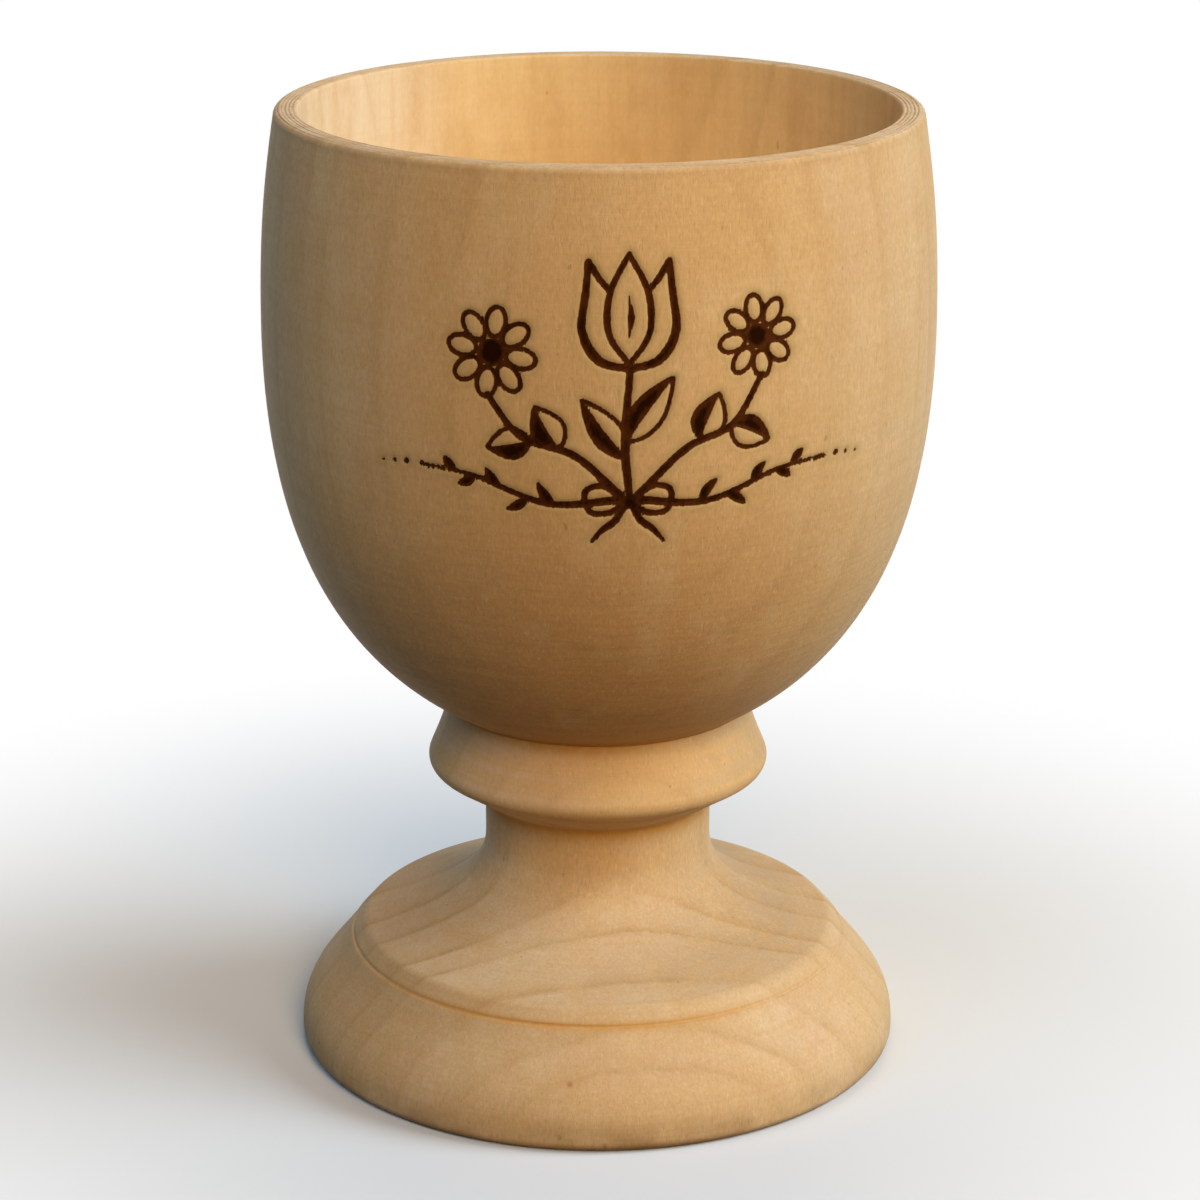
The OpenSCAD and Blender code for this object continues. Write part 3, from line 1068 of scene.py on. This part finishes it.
        # Painted shade on the rim's outer rounding, which goes into one attribute with the painted shade of
        # the tool lines.
        rounding_shade = self.rounding_shade * smooth_step(-below, -1.2, -0.5)
        inside = np.arange(len(height)) > np.argmax(height * (lathe.facing[:, 1] > 0.99))
        piece = lathe.build(
            "turned_bowl", self.design.sink(distance, fade) + furrows,
            near_burn=self.design.reach - distance, fade=fade,
            # Painted shade in the corner at the seat.
            recess=recess_near(lathe.outline, (self.seat_r, self.seat_z), self.seat_shade_spread),
            rim_shade=np.maximum(furrows / self.tool_line_depth, (rounding_shade * ~inside)[:, None]),
            end_grain=np.abs(lathe.facing[:, 1:]), hollow=(inside & (height < self.rim_z - 0.1))[:, None],
        )
        piece.data.materials.append(wood)
        return piece

    def _rim_sink(self, lathe: Lathe) -> Array:
        """Tool lines round the rim: rounded furrows, each with a depth that wanders in its own way.

        They run side by side from the outer rounding, a little before the flat, to the inner bevel.
        """
        flat = np.flatnonzero(lathe.outline[:, 1] > self.rim_z - 1e-6)
        start = lathe.run[flat[0]] - self.tool_line_reach
        share = (lathe.run - start) / (lathe.run[flat[-1]] - start)
        within = (share > 0) & (share < 1)
        count = self.tool_lines * share
        furrow = np.where(within, 0.5 - 0.5 * np.cos(2 * math.pi * count), 0.0) ** 1.4
        phase = 2.3 * np.floor(count)[:, None]
        slow, quick = np.sin(3 * lathe.angles + phase), np.sin(17 * lathe.angles + 1.7 * phase)
        return self.tool_line_depth * furrow[:, None] * (0.62 + 0.22 * slow + 0.16 * quick)


@dataclass
class Pedestal:
    """Foot of the cup: ovolo, groove, rounded lip, hollow sweep, neck and collar, with a blind socket.

    Sizes and holds are meant as in the bowl.

    Attributes:
        neck_fillet: Rounding of the corner between neck and collar.
        seat_edge: Easing of the seat's edge.
        groove_shade_spread: How far the painted shade spreads from the groove.
        corner_shade_spread: How far it spreads from the corners above and below the collar.
        shade_turn: Angle at which the painted shade in the groove and at the seat is strongest, in radians.
        columns: Number of columns round the axis.
    """

    lip_r: float = 18.5
    lip_side: float = 1.1
    lip_lean: float = 41.0
    lip_round: float = 1.0
    lip_slope: float = 15.0
    groove_h: float = 8.1
    groove_w: float = 0.45
    groove_cut: float = 0.1
    foot_wide_h: float = 1.2
    foot_round: float = 0.9
    foot_slope: float = 58.0
    foot_hold: float = 0.455
    groove_hold: float = 0.4
    lip_hold: float = 0.51
    neck_hold: float = 0.58
    collar_hold: float = 0.35
    flange_h: float = 16.0
    neck_r: float = 8.4
    neck_h: float = 3.0
    neck_fillet: float = 0.35
    collar_r: float = 12.6
    collar_wide_h: float = 3.2
    collar_round: float = 1.0
    collar_round_top: float = 22.0
    collar_lean: float = 6.0
    seat_r: float = 11.25
    seat_edge: float = 0.1
    socket_r: float = 5.65
    groove_shade_spread: float = 0.27
    corner_shade_spread: float = 0.7
    shade_turn: float = -0.2
    columns: int = 288

    def __post_init__(self) -> None:
        """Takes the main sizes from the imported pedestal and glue."""
        self.foot_r = node_corners("pedestal")[1][0]
        self.seat_z = node_corners("pedestal")[1][2]
        self.socket_z = node_corners("glue_film")[0][2]
        self.collar_z = self.flange_h + self.neck_h
        self.lip_rise = heading(90 + self.lip_lean)
        self.groove_mid = np.array([self.lip_r, self.groove_h])
        self.groove_low = self.groove_mid - self.groove_w / 2 * self.lip_rise

    def _foot(self) -> Array:
        """Underside, rounded bottom edge and ovolo, up to the groove."""
        wide = np.array([self.foot_r, self.foot_wide_h])
        rise = self.groove_low[1] - wide[1]
        arrive = self.groove_low + self.groove_hold * rise * heading(-self.foot_slope)
        return joined(
            walk(line((0, 0), (self.foot_r - self.foot_round, 0)), 1.6),
            arc((self.foot_r - self.foot_round, self.foot_round), self.foot_round, -90, 0, 9),
            line((self.foot_r, self.foot_round), wide),
            walk(curve(wide, wide + (0, self.foot_hold * rise), arrive, self.groove_low), 0.3),
        )

    def _flange(self) -> Array:
        """Groove, leaning lip and hollow sweep, up to the neck.

        The groove is a rounded hollow: its depth follows one turn of a cosine over its width.
        """
        across = np.linspace(-0.5, 0.5, 11)[:, None]
        depth = self.groove_cut * (0.5 + 0.5 * np.cos(2 * math.pi * across))
        groove = self.groove_mid + self.groove_w * across * self.lip_rise - depth * heading(self.lip_lean)
        edge = self.groove_mid + self.lip_side * self.lip_rise
        centre = edge - self.lip_round * heading(self.lip_lean)
        angle = 90 - self.lip_slope
        lip = centre + self.lip_round * heading(angle)
        top = np.array([self.neck_r, self.flange_h])
        leave = lip + self.lip_hold * (lip[0] - self.neck_r) * heading(180 - self.lip_slope)
        return joined(
            groove,
            walk(line(groove[-1], edge), 0.2),
            arc(centre, self.lip_round, self.lip_lean, angle, 12),
            walk(curve(lip, leave, top - (0, self.neck_hold * (top[1] - lip[1])), top), 0.35),
        )

    def _collar(self) -> Array:
        """Neck, filleted underside, rounded edge and side of the collar, up to the seat."""
        centre = np.array([self.collar_r - self.collar_round, self.collar_z + self.collar_wide_h])
        corner = np.array([self.neck_r, self.collar_z])
        way = centre - corner
        half = math.asin(self.collar_round / np.linalg.norm(way))
        slope = math.degrees(math.atan2(way[1], way[0]) - half)
        edge = centre + self.collar_round * heading(self.collar_round_top)
        seat = np.array([self.seat_r, self.seat_z - self.seat_edge])
        hold = self.collar_hold * (seat[1] - edge[1])
        below, beside = np.array([0, -self.neck_fillet]), self.neck_fillet * heading(slope)
        leave = edge + hold * heading(90 + self.collar_round_top)
        arrive = seat - hold * heading(90 + self.collar_lean)
        return joined(
            walk(line((self.neck_r, self.flange_h), corner + below), 0.4),
            curve(corner + below, corner + below / 3, corner + beside / 3, corner + beside, 6),
            walk(line(corner + beside, centre + self.collar_round * heading(slope - 90)), 0.35),
            arc(centre, self.collar_round, slope - 90, self.collar_round_top, 14),
            walk(curve(edge, leave, arrive, seat), 0.3),
        )

    def outline(self) -> Array:
        """Closed outline from the middle of the underside, up the outside and down into the socket."""
        seat_in = self.seat_r - self.seat_edge
        return joined(
            self._foot(),
            self._flange(),
            self._collar(),
            arc((seat_in, self.seat_z - self.seat_edge), self.seat_edge, 0, 90, 4),
            walk(line((seat_in, self.seat_z), (self.socket_r, self.seat_z)), 1.6),
            walk(line((self.socket_r, self.seat_z), (self.socket_r, self.socket_z)), 1.6),
            walk(line((self.socket_r, self.socket_z), (0, self.socket_z)), 1.6),
        )

    def build(self, wood: bpy.types.Material) -> bpy.types.Object:
        """Makes the pedestal and dresses it.

        Args:
            wood: Material of the pedestal.

        Returns:
            The finished piece.
        """
        turn = np.linspace(-math.pi, math.pi, self.columns, endpoint=False)
        lathe = Lathe(self.outline(), turn)
        # Painted shade in the groove and in the corners at the seat and under the collar; in the groove and at
        # the seat it is strongest towards the front and the back.
        shade_round = 0.5 + 0.5 * np.cos(2 * (turn - self.shade_turn))
        groove = recess_near(lathe.outline, self.groove_mid, self.groove_shade_spread) * shade_round
        seat = recess_near(lathe.outline, (self.seat_r, self.seat_z), self.corner_shade_spread) * shade_round**3
        neck = recess_near(lathe.outline, (self.neck_r, self.collar_z), self.corner_shade_spread)
        none = np.zeros(lathe.shape)
        piece = lathe.build(
            "turned_pedestal", none, near_burn=none, fade=none, recess=seat + neck + groove, rim_shade=none,
            end_grain=np.abs(lathe.facing[:, 1:]), hollow=none,
        )
        piece.data.materials.append(wood)
        return piece


@dataclass(frozen=True)
class Studio:
    """Plain pale floor, soft lamps and the camera at the photograph's viewing angle.

    Attributes:
        distance: From the camera to the point that it looks at on the axis, in millimetres.
        pitch: How far the camera looks down, in degrees.
        aim_z: Height of that point.
        lens: Focal length.
        sensor: Width of the camera's sensor.
        roll: Turn of the camera about its view, in degrees.
        shift: Sideways shift that frames the cup as in the photograph.
        floor_r: Radius of the floor, in millimetres.
        floor_drop: How far the floor lies under the cup.
        floor_tone: Its colour where it is seen.
        floor_bounce: Its colour for the light that it throws up.
        fade_from: Distance from the axis at which the floor starts to turn white.
        fade_to: Distance at which it is white.
        lamp_reach: Distance of the lamps, in metres.
        world: Light from all round, where the world itself isn't seen.
    """

    distance: float = 265.7
    pitch: float = 18.08
    aim_z: float = 34.0
    lens: float = 108.1
    sensor: float = 36.0
    roll: float = 0.14
    shift: float = 0.0015
    floor_r: float = 900.0
    floor_drop: float = 0.02
    floor_tone: Colour = (0.90, 0.90, 0.90)
    floor_bounce: Colour = (0.04, 0.04, 0.04)
    fade_from: float = 24.0
    fade_to: float = 88.0
    lamp_reach: float = 0.8
    world: float = 0.02

    def camera(self) -> None:
        """Places the camera: back from the axis along its own view, then rolled about that view."""
        pitch, roll = math.radians(self.pitch), math.radians(self.roll)
        back = Vector((0.0, -math.cos(pitch), math.sin(pitch)))
        right, up = Vector((1.0, 0.0, 0.0)), Vector((0.0, math.sin(pitch), math.cos(pitch)))
        turned_right = math.cos(roll) * right + math.sin(roll) * up
        turned_up = math.cos(roll) * up - math.sin(roll) * right
        place = (Vector((0.0, 0.0, self.aim_z)) + self.distance * back) * MM
        data = bpy.data.cameras.new("photo_camera")
        data.lens, data.sensor_width, data.shift_x = self.lens, self.sensor, self.shift
        data.clip_start, data.clip_end = 0.01, 10.0
        eye = bpy.data.objects.new("photo_camera", data)
        eye.matrix_world = Matrix((
            *zip(turned_right, turned_up, back, place),
            (0.0, 0.0, 0.0, 1.0),
        ))
        bpy.context.scene.collection.objects.link(eye)
        bpy.context.scene.camera = eye

    def lamp(self, name: str, azimuth: float, height: float, size: float, power: float,
             colour: Colour) -> None:
        """Adds a square soft lamp that faces the cup.

        Args:
            name: Name of the lamp.
            azimuth: Its direction in degrees, 0 at the camera's side and 90 to the right.
            height: Its elevation in degrees.
            size: Width of the lamp in metres.
            power: Power in watts.
            colour: Colour of the light.
        """
        turn, rise = math.radians(azimuth), math.radians(height)
        away = Vector((math.sin(turn) * math.cos(rise), -math.cos(turn) * math.cos(rise), math.sin(rise)))
        data = bpy.data.lights.new(name, "AREA")
        data.size, data.energy, data.color = size, power, colour
        lamp = bpy.data.objects.new(name, data)
        lamp.location = away * self.lamp_reach + Vector((0, 0, self.aim_z * MM))
        lamp.rotation_euler = away.to_track_quat("Z", "Y").to_euler()
        bpy.context.scene.collection.objects.link(lamp)

    def lights(self) -> None:
        """Key from the right, warm lamp in front, one behind, cool fill from the left, and a faint world."""
        self.lamp("key", 80.0, 29.0, 0.42, 6.1, (0.74, 0.88, 1.0))
        self.lamp("front", 15.0, 32.0, 0.35, 3.6, (1.0, 0.77, 0.52))
        self.lamp("behind", 180.0, 66.0, 0.35, 1.1, (1.0, 0.83, 0.60))
        self.lamp("fill", -55.0, 40.0, 0.5, 1.4, (0.30, 0.62, 1.0))
        world = bpy.data.worlds.new("studio")
        bpy.context.scene.world = world
        world.use_nodes = True
        tree = world.node_tree
        shown = tree.nodes["Background"]
        shown.inputs["Color"].default_value = (1.0, 1.0, 1.0, 1.0)
        seen = self._seen(tree)
        strength = tree.nodes.new("ShaderNodeMapRange")
        strength.inputs["To Min"].default_value = self.world
        tree.links.new(seen, strength.inputs["Value"])
        tree.links.new(strength.outputs[0], shown.inputs["Strength"])

    @staticmethod
    def _seen(tree: bpy.types.NodeTree) -> Socket:
        """1 for rays of the camera, of gloss and through glass, and 0 for the rest."""
        path = tree.nodes.new("ShaderNodeLightPath")
        seen = path.outputs["Is Camera Ray"]
        for ray in ("Is Glossy Ray", "Is Transmission Ray"):
            either = tree.nodes.new("ShaderNodeMath")
            either.operation = "MAXIMUM"
            tree.links.new(seen, either.inputs[0])
            tree.links.new(path.outputs[ray], either.inputs[1])
            seen = either.outputs[0]
        return seen

    def floor(self) -> bpy.types.Object:
        """Round pale floor just under the cup: rings of points, shaded near the cup and white far off."""
        turn = np.linspace(0, 2 * math.pi, 97)[:-1]
        radii = np.array([20.0, 60.0, 120.0, 240.0, 480.0, self.floor_r])
        ring = np.stack([np.sin(turn), -np.cos(turn), np.zeros_like(turn)], axis=1)
        places = (radii[:, None, None] * ring).reshape(-1, 3) - (0, 0, self.floor_drop)
        grid = np.arange(len(places)).reshape(len(radii), len(turn))
        beside = np.roll(grid, -1, axis=1)
        quads = np.stack([grid[:-1], grid[1:], beside[1:], beside[:-1]], axis=2).reshape(-1, 4)
        mesh = bpy.data.meshes.new("floor")
        mesh.from_pydata((places * MM).tolist(), [], [*quads.tolist(), grid[0].tolist()])
        mesh.update()
        floor = bpy.data.objects.new("floor", mesh)
        bpy.context.scene.collection.objects.link(floor)
        mesh.materials.append(self._floor_material())
        return floor

    def _floor_material(self) -> bpy.types.Material:
        """Pale matt floor that keeps the shadow, turns white far off, and throws little light up."""
        sheet = Sheet("pale_floor")
        away = sheet.node("VectorMath", {0: sheet.spot}, operation="LENGTH").outputs["Value"]
        white = sheet.range(away, self.fade_from, self.fade_to)
        seen = self._seen(sheet.tree)
        tone = sheet.mix(seen, self.floor_bounce, self.floor_tone)
        glow = sheet.node("Emission", {"Color": (1.0, 1.0, 1.0, 1.0), "Strength": 1.0})
        matt = sheet.node("BsdfDiffuse", {"Color": tone})
        shaders = {0: sheet.times(white, seen), 1: matt.outputs[0], 2: glow.outputs[0]}
        mixed = sheet.node("MixShader", shaders)
        sheet.tree.nodes.remove(sheet.shader)
        sheet.put(mixed.outputs[0], sheet.output.inputs["Surface"])
        return sheet.material


def report(piece: bpy.types.Object) -> None:
    """Logs a piece's name, its faces and the corners of its box in millimetres."""
    corners = np.array([corner[:] for corner in piece.bound_box]) / MM
    low, high = corners.min(0).round(2), corners.max(0).round(2)
    log.info("%s: %d faces, from %s to %s mm", piece.name, len(piece.data.polygons), low, high)


def main() -> None:
    """Builds the camera, the pieces and the studio in order."""
    logging.basicConfig(level=logging.INFO, format="%(name)s: %(message)s")
    bpy.context.scene.view_settings.view_transform = "Standard"
    studio = Studio()
    studio.camera()

    wood = TurnedWood().material()
    for maker, node in ((Bowl(), "bowl"), (Pedestal(), "pedestal")):
        piece = maker.build(wood)
        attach(piece, "root")
        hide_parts(node)
        report(piece)
    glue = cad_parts["glue_film"]
    glue.data.materials.clear()
    glue.data.materials.append(CuredGlue().material())
    report(glue)

    studio.floor()
    studio.lights()


if __name__ == "__main__":
    main()
